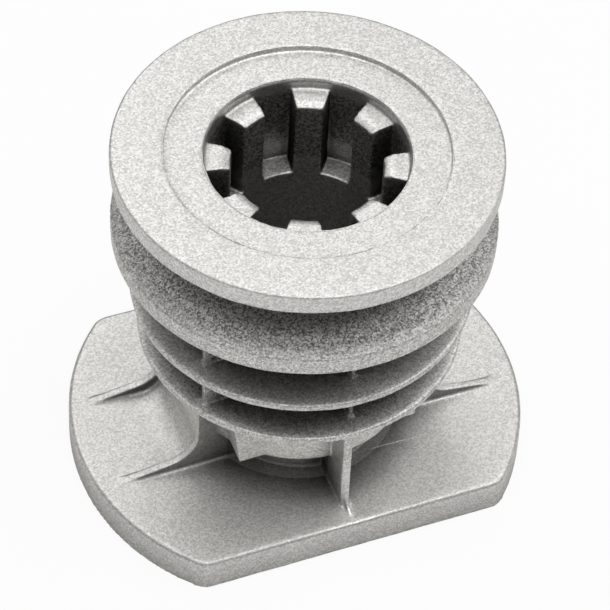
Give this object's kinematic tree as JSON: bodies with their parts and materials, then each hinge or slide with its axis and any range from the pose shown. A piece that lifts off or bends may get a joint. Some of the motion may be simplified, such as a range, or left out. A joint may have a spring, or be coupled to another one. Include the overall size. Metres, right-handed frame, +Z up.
{
  "type": "mower blade adapter",
  "caption": "One-piece die-cast aluminium hub with a V-belt groove, cooling fins, a splined bore and a flat-sided plate that seats a mower blade.",
  "frame": {"origin": "on the bore axis, in the plane of the blade seat under the plate", "axes": "+Z up the bore towards the engine, +X along the plate's long direction, -Y towards the flat side seen in the picture"},
  "size_m": [0.081, 0.065, 0.0714],
  "materials": {
    "cast_aluminium": "blasted die casting, matt and grainy"
  },
  "bodies": {
    "root": {"blade_adapter": "cast_aluminium"}
  },
  "joints": []
}
